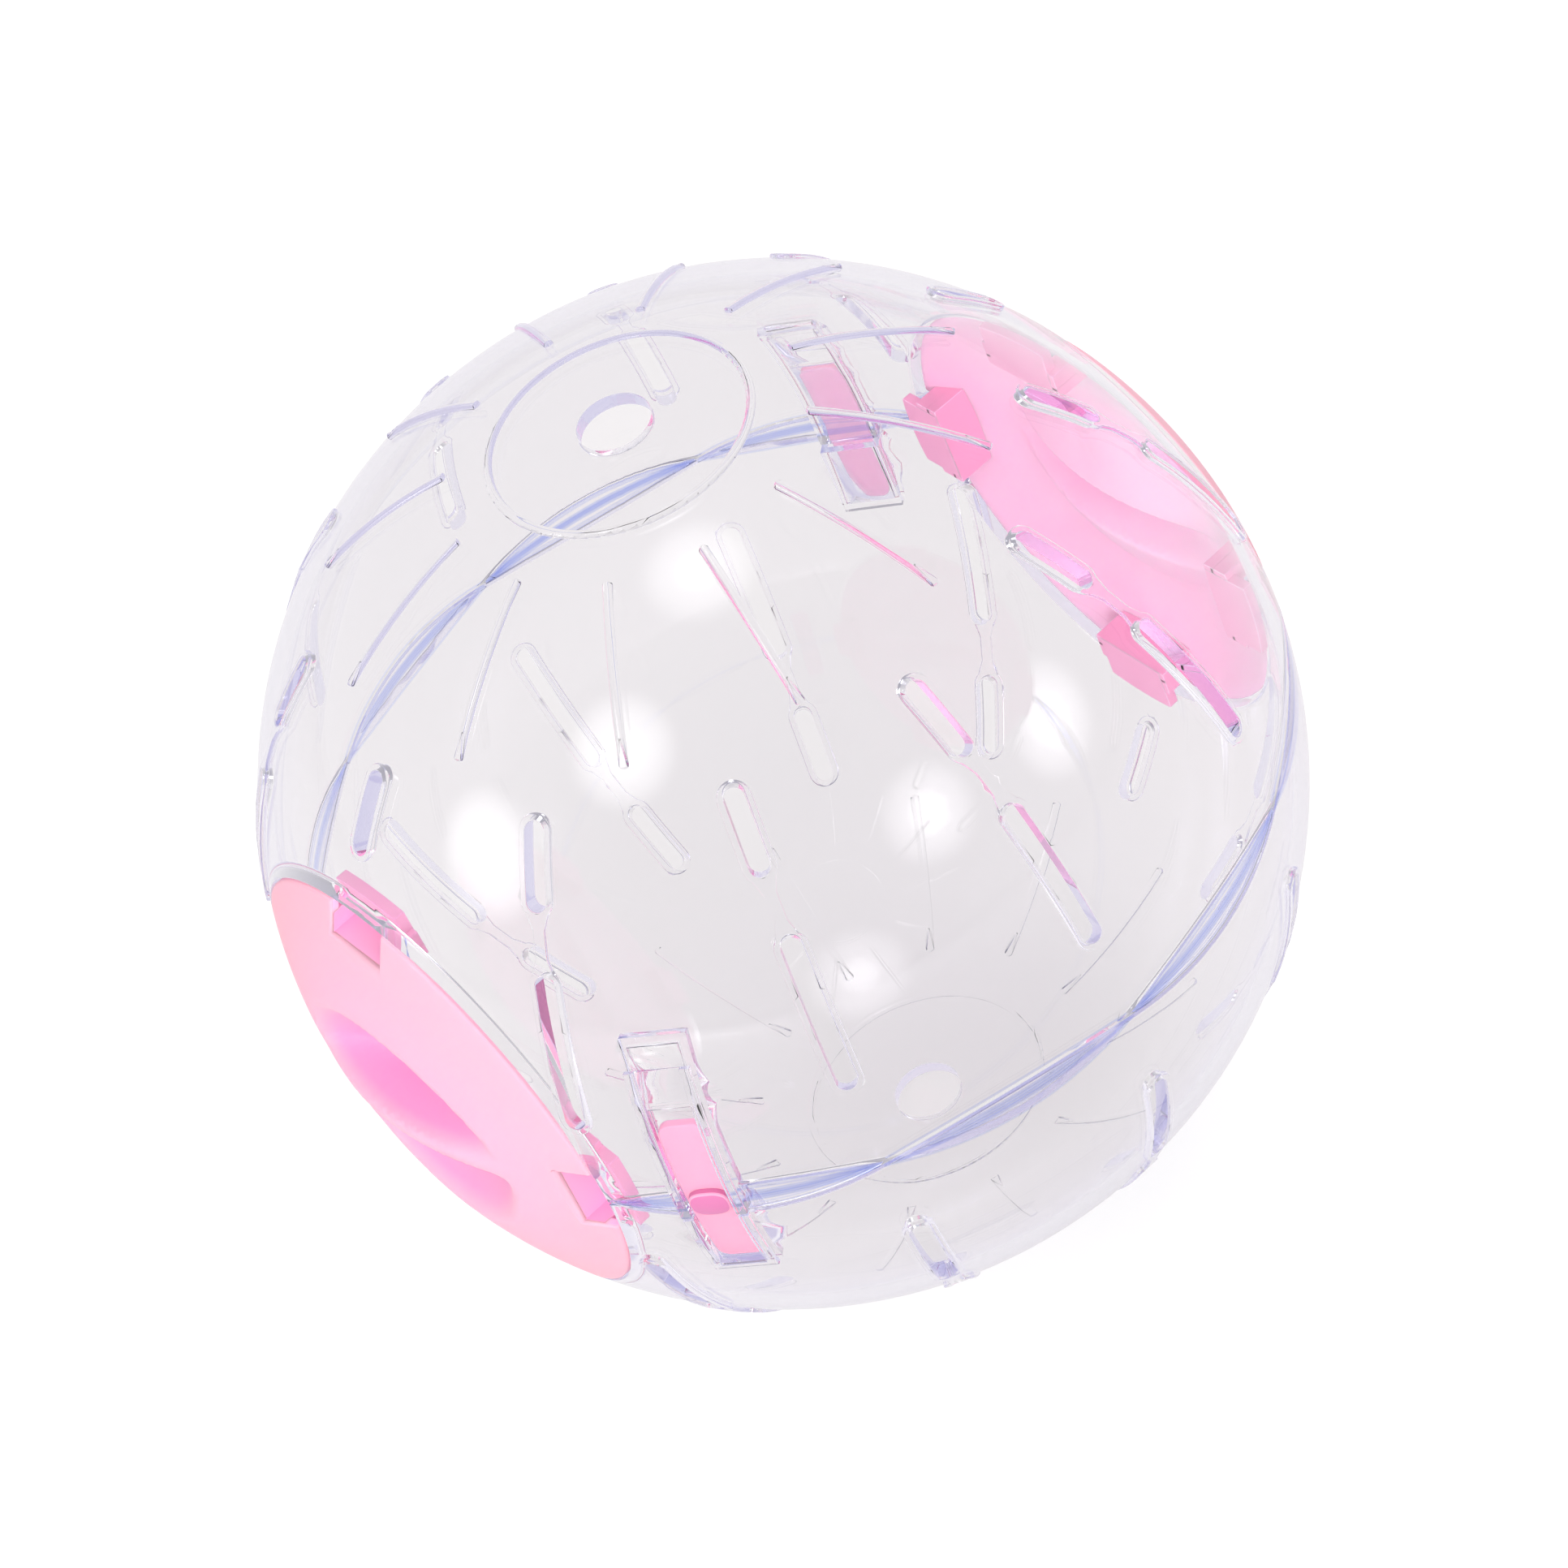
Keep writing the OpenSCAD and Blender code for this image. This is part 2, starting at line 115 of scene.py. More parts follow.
# Clear plastic. Light that the wall has guided comes out tinted. A ray passes straight through,
# with that tint, after more than GUIDED_FROM mirrorings or DEEP_FROM bounces of any kind.
CLEAR = (0.985, 0.978, 0.982, 1.0)
# Painted light: the blue of the light that the lap's edges guide out, painted along the seam.
SEAM_PAINTED_LIGHT_BLUE = (0.48, 0.55, 0.95, 1.0)
GUIDED_TINT = (0.925, 0.92, 0.973, 1.0)
SHADOW_TINT = (0.992, 0.990, 0.992, 1.0)
WALL_TINT = (0.62, 0.62, 0.90, 1.0)
WALL_DENSITY = 14.0
CLEAR_IOR = 1.5
GUIDED_FROM = 1.5
DEEP_FROM = 9.5

# Shell meshes. The ribs start at RIBS_FROM_SINE, the sine of their latitude.
SHELL_RADII = (BALL_R, BALL_R - WALL, BALL_R + FRAME_H)
SHELL_BEVEL = 0.16 * MM
RIBS_FROM_SINE = math.sin(math.radians(48.5))
UPPER_SOFT_SHARE = 0.25
LOWER_SOFT_SHARE = 0.85
MERGE = 0.01 * MM

# Pink plastic. A pair of tones is mixed by a slow noise, between the two noise values.
PINK_IOR = 1.45
GLOSS_SPREAD = 0.1
SEE_IN_RADIUS = (1.0, 0.6, 0.8)
SEE_IN_SCALE = 1.6 * MM
DOOR_DOME = (0.985, 0.440, 0.600, 1.0)
DOOR_RIM = (0.995, 0.440, 0.555, 1.0)
# Painted shade: a deep pink in the door's recesses.
DOOR_RECESS_PAINTED_SHADE = (0.880, 0.330, 0.590, 1.0)
# Painted light: a paler pink on the inside faces of the doors.
DOOR_INSIDE_PAINTED_LIGHT = ((0.35, (0.985, 0.50, 0.72)), (0.65, (0.995, 0.62, 0.80)))
# Painted shade: the notch pockets are a deeper pink than the dome.
POCKET_PAINTED_SHADE = ((0.25, (0.985, 0.38, 0.62)), (0.75, (0.99, 0.44, 0.68)))
STRIP_OUTSIDE = ((0.25, (0.98, 0.355, 0.51)), (0.75, (0.98, 0.39, 0.54)))
# Painted light: a paler pink on the latches' inside faces.
STRIP_INSIDE_PAINTED_LIGHT = ((0.25, (0.99, 0.53, 0.74)), (0.75, (0.99, 0.58, 0.76)))
# Painted shade: the dark pink of the thumb button.
BUTTON_PAINTED_SHADE = ((0.25, (0.61, 0.175, 0.37)), (0.75, (0.65, 0.21, 0.41)))
OUTSIDE_BY = 25 * MM
RIM_TONE_FROM = 22 * MM
RIM_TONE_TO = 38 * MM
RIM_TONE_UNEVEN = 8.0 * MM
# The painted recess shade grows from SUNK_FROM to SUNK_TO below the ball's surface.
SUNK_FROM = 0.2 * MM
SUNK_TO = 2.6 * MM

# Door, in its own frame: u down, v along the seam, axis outwards
DOOR_R = 34.2 * MM
DOOR_WALL = 1.8 * MM
DOOR_BEVEL = 0.35 * MM
DOOR_STEP = 1.0 * MM
RIM_FLOOR = 59.69 * MM
INSIDE_LUGS_R = 32.3 * MM
NOTCH_IN = 29.2 * MM
NOTCH_HALF = 5.3 * MM
NOTCH_FLOOR = 57.78 * MM
BACK_WALL_FROM = 27.4 * MM
SLAB_PROUD = 0.04 * MM
SLAB_SUNK = 0.45 * MM
SLAB_OVERLAP = 0.5 * MM
SLAB_TAPER = 0.4 * MM
SLAB_BEVEL = 0.10 * MM
SLAB_STEP = 1.2 * MM
TAB_LOW = 56.18 * MM
TAB_HALF = 6.2 * MM
TAB_R = 35.3 * MM
TAB_STEP = 1.5 * MM

# Finger recesses: each is cut by a sphere, on its side of the grip bar between them
BAR_TURN = math.radians(98)
RECESS_OFF = 5.64 * MM
RECESS_X = 103.32 * MM
RECESS_R = 42.79 * MM
SHOULDER_FROM = 0.8 * MM
SHOULDER_TO = 4.8 * MM
EDGE_SOFT = 0.3 * MM
EDGE_DROP = 0.02 * MM

# Latch
LATCH_LON = math.radians(41)
LATCH_BEVEL = 0.25 * MM
STRIP_W = 6.4 * MM
STRIP_L = 26.9 * MM
STRIP_CORNER = 1.7 * MM
STRIP_CORNER_STEPS = 8
STRIP_LOW_R = 68.0 * MM
STRIP_TOP_R = 69.2 * MM
STRIP_EDGE_STEP = 1.0 * MM
STRIP_STEP = 0.9 * MM
BUTTON_W = 5.4 * MM
BUTTON_L = 4.3 * MM
BUTTON_TOP_R = 70.5 * MM
BUTTON_CROWN = 0.35 * MM
BUTTON_POINTS = 48
BUTTON_POWER = 2.7
BUTTON_STEP = 0.5 * MM

# Rounded edges. SHARP and SHARP_SHELL are the least angles that are rounded, in degrees. A corner
# that lands further than CORNER_SHARE of the bevel from the old surface is set back on it.
SHARP = 40.0
SHARP_SHELL = 30.0
CORNER_SHARE = 0.45
DEGENERATE = 0.002 * MM

# Normals. A corner is on a sphere within ON_SPHERE, where its face and its normal look straight
# enough along the radius. The ribs stand out from the ball by more than PROUD_FROM.
ON_SPHERE = 0.02 * MM
ON_SPHERE_FACING = 0.995
ON_SPHERE_NORMAL = 0.8
PROUD_FROM = 0.01 * MM

# Grid inside an outline: rows lie ROW_SHARE of the spacing apart, and no point is nearer to the
# outline than INSET_SHARE of it. INSIDE_ONLY is the triangulation's output type.
ROW_SHARE = 0.866
INSET_SHARE = 0.45
INSIDE_ONLY = 1
SAME_POINT = 1e-7


def look_from(obj, place, back, right):
    """Puts obj at place, looking along -back, with its X axis as near right as it can be."""
    z = back.normalized()
    x = (right - right.dot(z) * z).normalized()
    y = z.cross(x)
    obj.matrix_world = Matrix.Translation(place) @ Matrix((x, y, z)).transposed().to_4x4()


def make_camera():
    data = bpy.data.cameras.new("camera")
    cam = bpy.data.objects.new("camera", data)
    bpy.context.scene.collection.objects.link(cam)
    bpy.context.scene.camera = cam
    data.sensor_width = SENSOR
    focal_px = BALL_RADIUS_PX * math.sqrt((CAMERA_RANGE / BALL_R) ** 2 - 1)
    data.lens = focal_px * SENSOR / IMAGE_PX
    data.shift_x = (IMAGE_PX / 2 - BALL_CENTRE_PX[0]) / IMAGE_PX
    data.shift_y = (BALL_CENTRE_PX[1] - IMAGE_PX / 2) / IMAGE_PX
    data.clip_start = CLIP_START
    data.clip_end = CLIP_END
    look_from(cam, CAMERA_BACK * CAMERA_RANGE, CAMERA_BACK, IMAGE_RIGHT)


class Nodes:
    """Short calls for building a node tree."""

    def __init__(self, owner):
        owner.use_nodes = True
        self.tree = owner.node_tree
        self.tree.nodes.clear()

    def add(self, kind, _mode=None, **values):
        """A node with its modes and inputs set. i0 is the first input, and _ in a name is a space."""
        node = self.tree.nodes.new(kind)
        for name, value in (_mode or {}).items():
            setattr(node, name, value)
        for name, value in values.items():
            by_number = name[0] == "i" and name[1:].isdigit()
            socket = node.inputs[int(name[1:]) if by_number else name.replace("_", " ")]
            if isinstance(value, bpy.types.NodeSocket):
                self.tree.links.new(value, socket)
            else:
                socket.default_value = value
        return node

    def ramp(self, factor, stops):
        node = self.tree.nodes.new("ShaderNodeValToRGB")
        self.tree.links.new(factor, node.inputs["Fac"])
        ramp = node.color_ramp
        while len(ramp.elements) < len(stops):
            ramp.elements.new(1.0)
        for element, (place, colour) in zip(ramp.elements, stops):
            element.position = place
            element.color = (*colour, 1.0)
        return node.outputs["Color"]

    def math(self, operation, a, b=0.0, c=0.0):
        return self.add("ShaderNodeMath", {"operation": operation}, i0=a, i1=b, i2=c).outputs[0]

    def vector(self, operation, a, b=(0.0, 0.0, 0.0), output="Value"):
        node = self.add("ShaderNodeVectorMath", {"operation": operation}, i0=a, i1=b)
        return node.outputs[output]

    def mix(self, factor, a, b):
        node = self.add("ShaderNodeMix", {"data_type": "RGBA"}, i0=factor, i6=a, i7=b)
        return node.outputs[2]

    def smooth(self, value, start, end):
        """0 on the start side, 1 on the end side. The start may be the greater value."""
        node = self.add(
            "ShaderNodeMapRange",
            {"interpolation_type": "SMOOTHSTEP"},
            Value=value,
            From_Min=start,
            From_Max=end,
        )
        return node.outputs[0]

    def noise(self, coords, scale, detail, distortion=0.0):
        node = self.add(
            "ShaderNodeTexNoise",
            Vector=coords,
            Scale=scale,
            Detail=detail,
            Distortion=distortion,
        )
        return node.outputs["Fac"]

    def bump(self, height, strength, distance):
        node = self.add("ShaderNodeBump", Strength=strength, Distance=distance, Height=height)
        return node.outputs["Normal"]

    def any_of(self, *sockets):
        total = sockets[0]
        for socket in sockets[1:]:
            total = self.math("MAXIMUM", total, socket)
        return total


def seen_rays(n):
    """1 on rays that show a background: those of the camera, of mirrors and of clear plastic."""
    path = n.add("ShaderNodeLightPath")
    return n.any_of(
        path.outputs["Is Camera Ray"],
        path.outputs["Is Glossy Ray"],
        path.outputs["Is Transmission Ray"],
    )


def make_world():
    """White for the camera, a toned room with soft boxes for bent rays, and an even fill light."""
    world = bpy.data.worlds.new("studio")
    bpy.context.scene.world = world
    n = Nodes(world)
    path = n.add("ShaderNodeLightPath")
    direction = n.add("ShaderNodeTexCoord").outputs["Generated"]
    height = n.add("ShaderNodeSeparateXYZ", Vector=direction).outputs["Z"]
    tone = n.ramp(n.math("MULTIPLY_ADD", height, 0.5, 0.5), ROOM_TONES)
    glow = 0.0
    for toward, core, strength in SOFT_BOXES:
        near = n.vector("DOT_PRODUCT", direction, Vector(toward).normalized())
        glow = n.math("MULTIPLY_ADD", n.smooth(near, core - SOFT_BOX_GLOW, 1.0), strength, glow)
        glow = n.math("MULTIPLY_ADD", n.smooth(near, core, 1.0), strength, glow)
    boxes = n.add("ShaderNodeBackground", Color=WHITE, Strength=glow)
    walls = n.add("ShaderNodeBackground", Color=tone)
    room = n.add("ShaderNodeAddShader", i0=walls.outputs[0], i1=boxes.outputs[0])
    fill = n.add("ShaderNodeBackground", Color=FILL, Strength=FILL_STRENGTH)
    white = n.add("ShaderNodeBackground", Color=WHITE, Strength=1.0)
    bent = n.any_of(path.outputs["Is Glossy Ray"], path.outputs["Is Transmission Ray"])
    unseen = n.add("ShaderNodeMixShader", i0=bent, i1=fill.outputs[0], i2=room.outputs[0])
    all_rays = n.add(
        "ShaderNodeMixShader",
        i0=path.outputs["Is Camera Ray"],
        i1=unseen.outputs[0],
        i2=white.outputs[0],
    )
    n.add("ShaderNodeOutputWorld", Surface=all_rays.outputs[0])


def make_floor():
    mesh = bpy.data.meshes.new("floor")
    h = FLOOR_HALF
    mesh.from_pydata(
        [(-h, -h, FLOOR_Z), (h, -h, FLOOR_Z), (h, h, FLOOR_Z), (-h, h, FLOOR_Z)],
        [],
        [(0, 1, 2, 3)],
    )
    floor = bpy.data.objects.new("floor", mesh)
    bpy.context.scene.collection.objects.link(floor)
    material = bpy.data.materials.new("floor_white")
    n = Nodes(material)
    matt = n.add("ShaderNodeBsdfDiffuse", Color=FLOOR_MATT)
    direct = n.add("ShaderNodeLightPath").outputs["Is Camera Ray"]
    tone = n.mix(direct, FLOOR_BENT_GLOW, FLOOR_DIRECT_GLOW)
    glow = n.add("ShaderNodeEmission", Color=tone, Strength=seen_rays(n))
    both = n.add("ShaderNodeAddShader", i0=matt.outputs[0], i1=glow.outputs[0])
    n.add("ShaderNodeOutputMaterial", Surface=both.outputs[0])
    mesh.materials.append(material)


def make_lamp(name, toward, distance, diameter, power):
    data = bpy.data.lights.new(name, "AREA")
    data.shape = "DISK"
    data.size = diameter
    data.energy = power
    lamp = bpy.data.objects.new(name, data)
    bpy.context.scene.collection.objects.link(lamp)
    place = Vector(toward).normalized() * distance
    look_from(lamp, place, place, LAMP_ACROSS)
    lamp.visible_glossy = False
    lamp.visible_transmission = False


def seam_share(n, coords):
    """1 on the edges where the two half shells meet: the straight seam and its waves. The shell is
    tinted blue there as painted light.
    """
    parts = n.add("ShaderNodeSeparateXYZ", Vector=coords)
    height = n.math("ABSOLUTE", parts.outputs["Z"])
    lon = n.math("ARCTAN2", parts.outputs["Y"], parts.outputs["X"])
    turn = n.math("FRACT", n.math("MULTIPLY", lon, WAVES / math.tau))
    in_wave = n.math("SUBTRACT", turn, 0.5)
    sine = n.math("SINE", n.math("MULTIPLY", in_wave, math.tau / WAVES))
    across = n.math("MULTIPLY", sine, LAP_R)
    squared = n.math("MULTIPLY", across, across)
    arc_height = n.math("SQRT", n.math("MULTIPLY_ADD", squared, -1.0, WAVE_R**2))
    above_arc = n.math("SUBTRACT", n.math("SUBTRACT", height, arc_height), LAP_H - WAVE_R)
    seam_line = n.smooth(height, SEAM_LINE[1], SEAM_LINE[0])
    wave_line = n.smooth(n.math("ABSOLUTE", above_arc), WAVE_LINE[1], WAVE_LINE[0])
    return n.math("MAXIMUM", seam_line, n.math("MULTIPLY", wave_line, WAVE_LINE_SHARE))


def clear_plastic():
    """Clear polystyrene. Light that it has guided along its wall comes out at its edges, tinted."""
    material = bpy.data.materials.new("clear_polystyrene")
    n = Nodes(material)
    coords = n.add("ShaderNodeTexCoord").outputs["Object"]
    ripple = n.noise(coords, scale=38.0, detail=2.0)
    # Painted light: the base colour turns blue along the seam lines.
    body = n.add(
        "ShaderNodeBsdfPrincipled",
        Base_Color=n.mix(seam_share(n, coords), CLEAR, SEAM_PAINTED_LIGHT_BLUE),
        Roughness=0.0,
        IOR=CLEAR_IOR,
        Transmission_Weight=1.0,
        Normal=n.bump(ripple, strength=0.2, distance=0.12 * MM),
    )
    path = n.add("ShaderNodeLightPath")
    guided = n.math("GREATER_THAN", path.outputs["Glossy Depth"], GUIDED_FROM)
    deep = n.math("GREATER_THAN", path.outputs["Ray Depth"], DEEP_FROM)
    shadow = path.outputs["Is Shadow Ray"]
    passing = n.add("ShaderNodeBsdfTransparent", Color=n.mix(shadow, GUIDED_TINT, SHADOW_TINT))
    through = n.any_of(shadow, guided, deep)
    shader = n.add("ShaderNodeMixShader", i0=through, i1=body.outputs[0], i2=passing.outputs[0])
    inside = n.add("ShaderNodeVolumeAbsorption", Color=WALL_TINT, Density=WALL_DENSITY)
    n.add("ShaderNodeOutputMaterial", Surface=shader.outputs[0], Volume=inside.outputs[0])
    return material


def pink_plastic(name, shade, gloss, see_in):
    """Moulded pink plastic round a colour made by shade(nodes, position, slow noise)."""
    material = bpy.data.materials.new(name)
    n = Nodes(material)
    coords = n.add("ShaderNodeTexCoord").outputs["Object"]
    grain = n.noise(coords, scale=900.0, detail=3.0)
    flow = n.noise(coords, scale=26.0, detail=3.0, distortion=0.6)
    rough = n.add("ShaderNodeMapRange", Value=flow, To_Min=gloss, To_Max=gloss + GLOSS_SPREAD)
    body = n.add(
        "ShaderNodeBsdfPrincipled",
        Base_Color=shade(n, coords, flow),
        Roughness=rough.outputs[0],
        IOR=PINK_IOR,
        Subsurface_Weight=see_in,
        Subsurface_Radius=SEE_IN_RADIUS,
        Subsurface_Scale=SEE_IN_SCALE,
        Normal=n.bump(grain, strength=0.10, distance=0.04 * MM),
    )
    n.add("ShaderNodeOutputMaterial", Surface=body.outputs[0])
    return material


def outside_share(n, coords):
    """1 on faces that look away from the ball's centre, 0 on those that look inwards."""
    normal = n.add("ShaderNodeTexCoord").outputs["Normal"]
    return n.smooth(n.vector("DOT_PRODUCT", normal, coords), 0.0, OUTSIDE_BY)


def door_shade(n, coords, flow):
    """Pale in the dome, warmer toward the rim, with painted shade as deep pink down in the recesses
    of the outside, and painted light as a paler pink on the inside faces.
    """
    outside = outside_share(n, coords)
    sunk = n.math("SUBTRACT", BALL_R, n.vector("LENGTH", coords))
    # Painted shade: the outside turns a deeper pink the further a recess sinks.
    deep = n.math("MULTIPLY", n.smooth(sunk, SUNK_FROM, SUNK_TO), outside)
    off_axis = n.vector("LENGTH", n.vector("MULTIPLY", coords, (0.0, 1.0, 1.0), "Vector"))
    uneven = n.math("MULTIPLY_ADD", flow, RIM_TONE_UNEVEN, off_axis)
    dome = n.mix(n.smooth(uneven, RIM_TONE_FROM, RIM_TONE_TO), DOOR_DOME, DOOR_RIM)
    # Painted light: the faces that look inwards get a paler pink than the outside.
    return n.mix(deep, n.mix(outside, n.ramp(flow, DOOR_INSIDE_PAINTED_LIGHT), dome), DOOR_RECESS_PAINTED_SHADE)


def pocket_shade(n, coords, flow):
    # Painted shade: a deeper pink down in the notches.
    return n.ramp(flow, POCKET_PAINTED_SHADE)


def strip_shade(n, coords, flow):
    """Painted light: a little paler on the inside."""
    outside = outside_share(n, coords)
    return n.mix(outside, n.ramp(flow, STRIP_INSIDE_PAINTED_LIGHT), n.ramp(flow, STRIP_OUTSIDE))


def button_shade(n, coords, flow):
    # Painted shade: the button is coloured darker than the strip.
    return n.ramp(flow, BUTTON_PAINTED_SHADE)


def bevel_sharp(bm, width, segments, least_angle):
    """Rounds the sharp outer edges. A corner that flies off is set back on the old surface."""
    surface = BVHTree.FromBMesh(bm)
    least = math.radians(least_angle)
    sharp = [e for e in bm.edges if e.is_manifold and e.is_convex and e.calc_face_angle() > least]
    bmesh.ops.bevel(
        bm,
        geom=sharp,
        offset=width,
        offset_type="OFFSET",
        segments=segments,
        profile=0.5,
        affect="EDGES",
        clamp_overlap=False,
    )
    for vertex in bm.verts:
        place, _, _, distance = surface.find_nearest(vertex.co)
        if distance > CORNER_SHARE * width:
            vertex.co = place
    bmesh.ops.dissolve_degenerate(bm, dist=DEGENERATE, edges=bm.edges)


def as_array(items, name, kind, width=1):
    """One property of all of a mesh's items, as an array with width numbers to a row."""
    values = np.empty(len(items) * width, dtype=kind)
    items.foreach_get(name, values)
    return values.reshape(-1, width) if width > 1 else values


def weighted_normals(mesh, radii=(), soft_share=0.0):
    """Corner normals from the large faces, and exact ones where a face lies on a sphere of radii.

    soft_share leans those of the ribs and the ring round the pole outwards, as on worn tooling.
    """
    place = as_array(mesh.vertices, "co", float, 3)
    away = np.linalg.norm(place, axis=1)
    outward = place / away[:, None]
    corners = as_array(mesh.loops, "vertex_index", int)
    areas = as_array(mesh.polygons, "area", float)
    faces = as_array(mesh.polygons, "normal", float, 3)
    of_face = np.repeat(np.arange(len(areas)), as_array(mesh.polygons, "loop_total", int))

    total = np.zeros_like(place)
    np.add.at(total, corners, faces[of_face] * areas[of_face][:, None])
    length = np.linalg.norm(total, axis=1)
    length[length == 0] = 1
    total /= length[:, None]

    facing = np.einsum("ij,ij->i", faces[of_face], outward[corners])
    on_sphere = np.zeros(len(place), dtype=bool)
    for radius in radii:
        near = np.abs(away[corners] - radius) < ON_SPHERE
        on_sphere[corners[near & (np.abs(facing) > ON_SPHERE_FACING)]] = True
    along = np.einsum("ij,ij->i", total, outward)
    exact = on_sphere & (np.abs(along) > ON_SPHERE_NORMAL)
    total[exact] = outward[exact] * np.sign(along[exact])[:, None]

    high = np.abs(outward[:, 2]) > RIBS_FROM_SINE
    proud = (away > BALL_R + PROUD_FROM) & high & (along > 0)
    total[proud] = soft_share * outward[proud] + (1 - soft_share) * total[proud]
    mesh.polygons.foreach_set("use_smooth", [True] * len(areas))
    mesh.normals_split_custom_set_from_vertices(total.tolist())


def finished_mesh(bm, name, radii=(), soft_share=0.0):
    """Turns bm into a smooth mesh, and frees it."""
    mesh = bpy.data.meshes.new(name)
    bm.to_mesh(mesh)
    bm.free()
    mesh.update()
    weighted_normals(mesh, radii, soft_share)
    return mesh


def shell_mesh(name, node, soft_share):
    """The CAD shell with rounded edges, as one smooth mesh."""
    bm = bmesh.new()
    bm.from_mesh(nodes[node].data)
    bmesh.ops.remove_doubles(bm, verts=bm.verts, dist=MERGE)
    bevel_sharp(bm, SHELL_BEVEL, segments=2, least_angle=SHARP_SHELL)
    return finished_mesh(bm, name, SHELL_RADII, soft_share)


def is_inside(u, v, outline):
    """Whether a line from the point crosses the outline an odd number of times."""
    crossings = 0
    for (ua, va), (ub, vb) in zip(outline, outline[1:] + outline[:1]):
        if (va > v) != (vb > v) and u < (ub - ua) * (v - va) / (vb - va) + ua:
            crossings += 1
    return crossings % 2 == 1


def points_inside(outline, spacing):
    """A triangular grid of points inside a flat outline, none of them close to it."""
    count = len(outline)
    fence = BVHTree.FromPolygons(
        [(*p, 0) for p in outline] + [(*p, spacing) for p in outline],
        [(i, (i + 1) % count, (i + 1) % count + count, i + count) for i in range(count)],
    )
    us = [u for u, _ in outline]
    vs = [v for _, v in outline]
    rows = int((max(vs) - min(vs)) / (spacing * ROW_SHARE)) + 1
    columns = int((max(us) - min(us)) / spacing) + 2
    inside = []
    for row in range(rows):
        v = min(vs) + row * spacing * ROW_SHARE
        for column in range(columns):
            u = min(us) + (column + 0.5 * (row % 2) - 0.5) * spacing
            if is_inside(u, v, outline):
                distance = fence.find_nearest((u, v, spacing / 2))[3]
                if distance > spacing * INSET_SHARE:
                    inside.append(Vector((u, v)))
    return inside


def thick_sheet(bm, outline, spacing, top, bottom, material=0):
    """Adds a closed solid over a flat outline, between the surfaces top(u, v) and bottom(u, v)."""
    points = [Vector(p) for p in outline] + points_inside(outline, spacing)
    count = len(outline)
    edges = [(i, (i + 1) % count) for i in range(count)]
    flat, _, faces, _, _, _ = delaunay_2d_cdt(points, edges, [], INSIDE_ONLY, SAME_POINT)
    upper = [bm.verts.new(top(p[0], p[1])) for p in flat]
    lower = [bm.verts.new(bottom(p[0], p[1])) for p in flat]
    sides = {}
    made = []
    for face in faces:
        made.append(bm.faces.new([upper[i] for i in face]))
        made.append(bm.faces.new([lower[i] for i in reversed(face)]))
        for a, b in zip(face, face[1:] + face[:1]):
            sides[(a, b)] = (b, a)
    for (a, b), other_way in sides.items():
        if other_way not in sides:
            made.append(bm.faces.new((upper[b], upper[a], lower[a], lower[b])))
    for face in made:
        face.material_index = material


def arc(radius, start, end, step):
    """Points on a circle round the origin, about step apart."""
    count = max(2, int(abs(end - start) * radius / step))
    angles = [start + (end - start) * i / count for i in range(count + 1)]
    return [(radius * math.cos(a), radius * math.sin(a)) for a in angles]


def turned(points, angle):
    """The points turned about the origin."""
    c, s = math.cos(angle), math.sin(angle)
    return [(u * c - v * s, u * s + v * c) for u, v in points]


def rounded(half_u, half_v, corner, steps):
    """A rectangle with round corners."""
    points = []
    for k, (su, sv) in enumerate(((1, 1), (-1, 1), (-1, -1), (1, -1))):
        centre_u = su * (half_u - corner)
        centre_v = sv * (half_v - corner)
        for i in range(steps + 1):
            angle = (k + i / steps) * math.pi / 2
            points.append((centre_u + corner * math.cos(angle), centre_v + corner * math.sin(angle)))
    return points


def rounded_oval(half_u, half_v, power, count):
    """An ellipse for power 2, and nearer to a rectangle with a greater power."""
    points = []
    for i in range(count):
        angle = 2 * math.pi * i / count
        c, s = math.cos(angle), math.sin(angle)
        k = (abs(c) ** power + abs(s) ** power) ** (-1 / power)
        points.append((half_u * k * c, half_v * k * s))
    return points


def divided(outline, step):
    """The same outline with points at most step apart, so that it can follow a curved surface."""
    points = []
    for (ua, va), (ub, vb) in zip(outline, outline[1:] + outline[:1]):
        count = max(1, math.ceil(math.hypot(ub - ua, vb - va) / step))
        points += [(ua + (ub - ua) * i / count, va + (vb - va) * i / count) for i in range(count)]
    return points


def smoothstep(value, start, end):
    t = min(1.0, max(0.0, (value - start) / (end - start)))
    return t * t * (3 - 2 * t)


def ball_top(u, v):
    """How far out along a door's axis the ball's surface lies."""
    return math.sqrt(BALL_R * BALL_R - u * u - v * v)


def recess_depth(u, v):
    """How far the finger recesses lie below the dome, with soft shoulders along the grip bar."""
    deepest = 0.0
    for turn in (BAR_TURN, BAR_TURN + math.pi):
        along = u * math.cos(turn) + v * math.sin(turn)
        across = v * math.cos(turn) - u * math.sin(turn)
        room = RECESS_R**2 - along**2 - (across + RECESS_OFF) ** 2
        if across <= SHOULDER_FROM or room <= 0:
            continue
        depth = ball_top(u, v) - RECESS_X + math.sqrt(room)
        depth = 0.5 * (depth + math.sqrt(depth * depth + EDGE_SOFT * EDGE_SOFT)) - EDGE_DROP
        deepest = max(deepest, depth * smoothstep(across, SHOULDER_FROM, SHOULDER_TO))
    return deepest


def door_top(u, v):
    return ball_top(u, v) - recess_depth(u, v)


def door_bottom(u, v):
    """The inside of the skin, and the thinner rim that turns over the lugs."""
    top = door_top(u, v)
    inside = top - DOOR_WALL * BALL_R / top
    return max(inside, RIM_FLOOR) if math.hypot(u, v) > NOTCH_IN else inside


